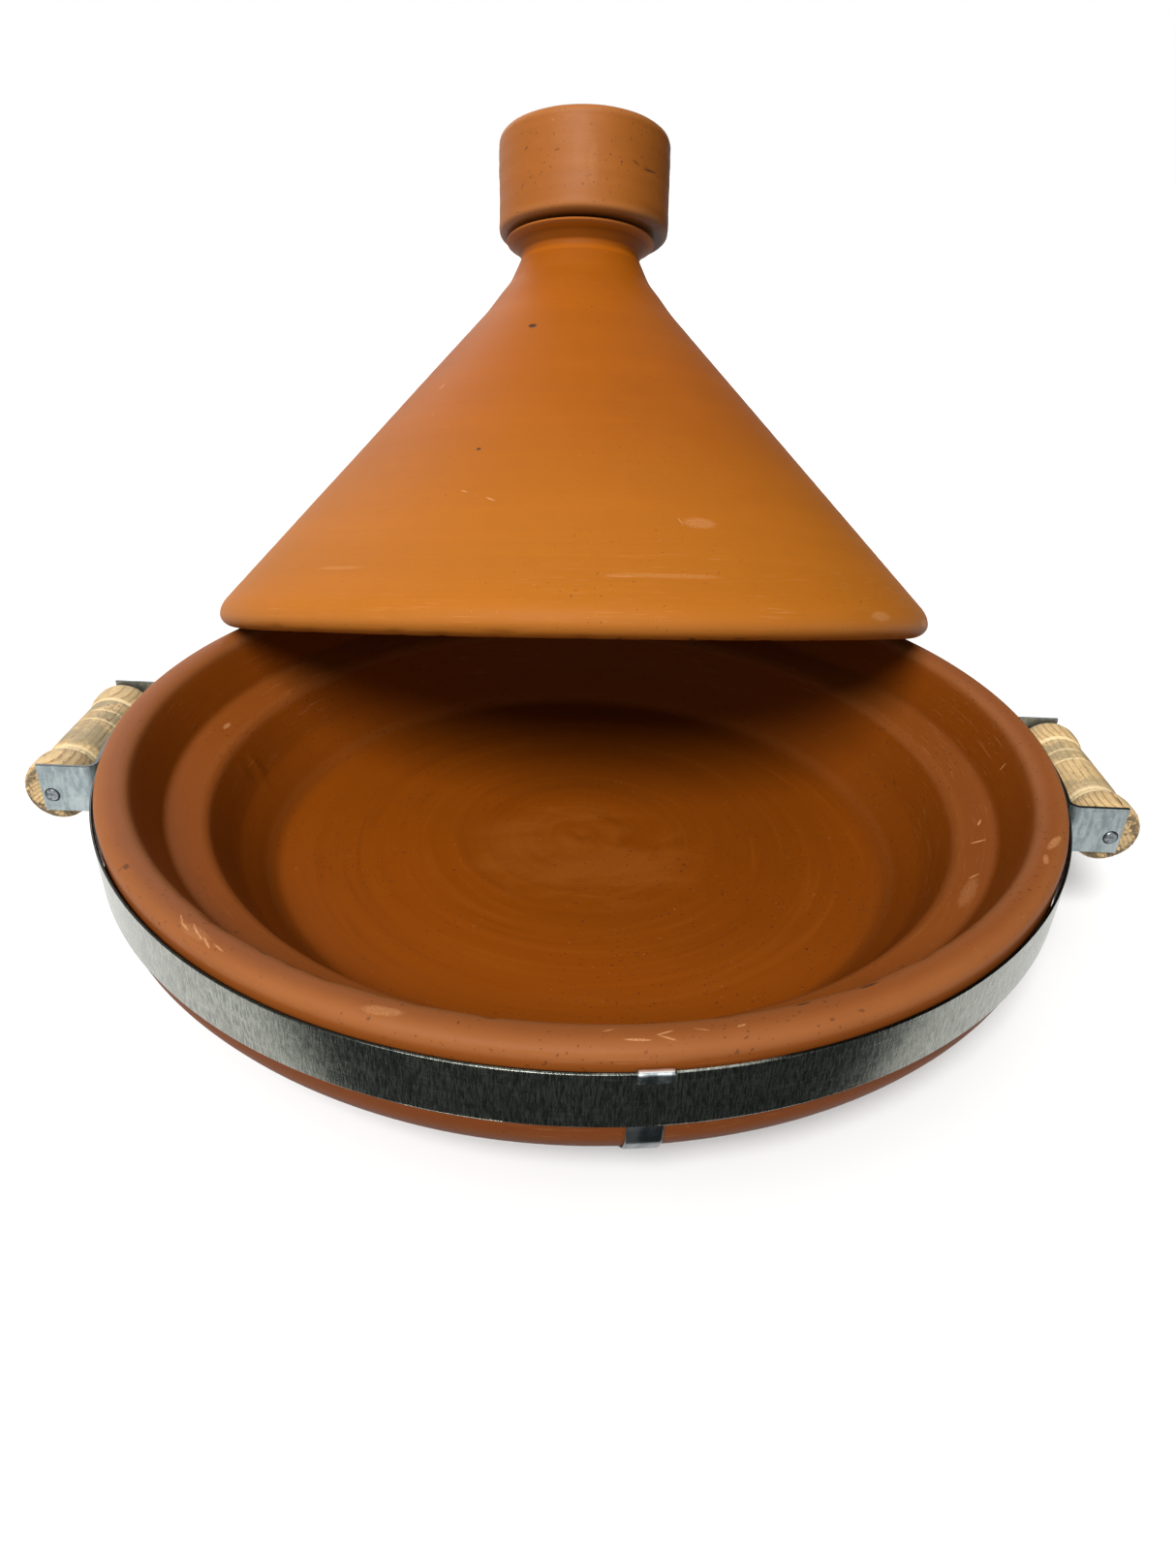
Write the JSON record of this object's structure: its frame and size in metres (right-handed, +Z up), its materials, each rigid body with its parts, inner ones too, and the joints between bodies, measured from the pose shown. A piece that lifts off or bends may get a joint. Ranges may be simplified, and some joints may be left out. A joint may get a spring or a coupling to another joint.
{
  "type": "tagine pot",
  "caption": "Round banded clay cooking dish with wooden grips on riveted steel brackets and a conical clay lid with a cup-shaped knob.",
  "frame": {"origin": "centre of the dish's resting face, on the table", "axes": "+Z up along the dish's axis, -Y to the front, +X to the right grip"},
  "size_m": [0.4344, 0.4689, 0.2899],
  "materials": {
    "dish_clay": "unglazed red-brown terracotta, burnished by hand",
    "lid_clay": "unglazed orange-tan terracotta with fine throwing lines",
    "band_steel": "galvanised strip with fine streaks",
    "bracket_steel": "galvanised strip, scratched",
    "rivet_steel": "plain steel rivets",
    "rod_steel": "dull cut steel rod",
    "grip_wood": "turned pine, unfinished and partly weathered"
  },
  "bodies": {
    "dish": {"dish": "dish_clay", "band": "band_steel", "band_rivets": "rivet_steel", "strap": "band_steel", "left_bracket": "bracket_steel", "right_bracket": "bracket_steel", "left_bracket_rivets": "rivet_steel", "right_bracket_rivets": "rivet_steel", "left_rod": "rod_steel", "right_rod": "rod_steel"},
    "lid": {"lid_cone": "lid_clay", "lid_knob": "lid_clay"},
    "left_grip": {"left_grip": "grip_wood"},
    "right_grip": {"right_grip": "grip_wood"}
  },
  "joints": [
    {"name": "lid_lift", "type": "slide", "parent": "dish", "child": "lid", "axis": [0, 0, 1], "range_m": [0, 0.12]},
    {"name": "left_grip_spin", "type": "hinge", "parent": "dish", "child": "left_grip", "pos_m": [-0.2042, -0.0065, 0.051], "axis": [0, 1, 0], "continuous": true},
    {"name": "right_grip_spin", "type": "hinge", "parent": "dish", "child": "right_grip", "pos_m": [0.2042, -0.0065, 0.051], "axis": [0, 1, 0], "continuous": true}
  ]
}
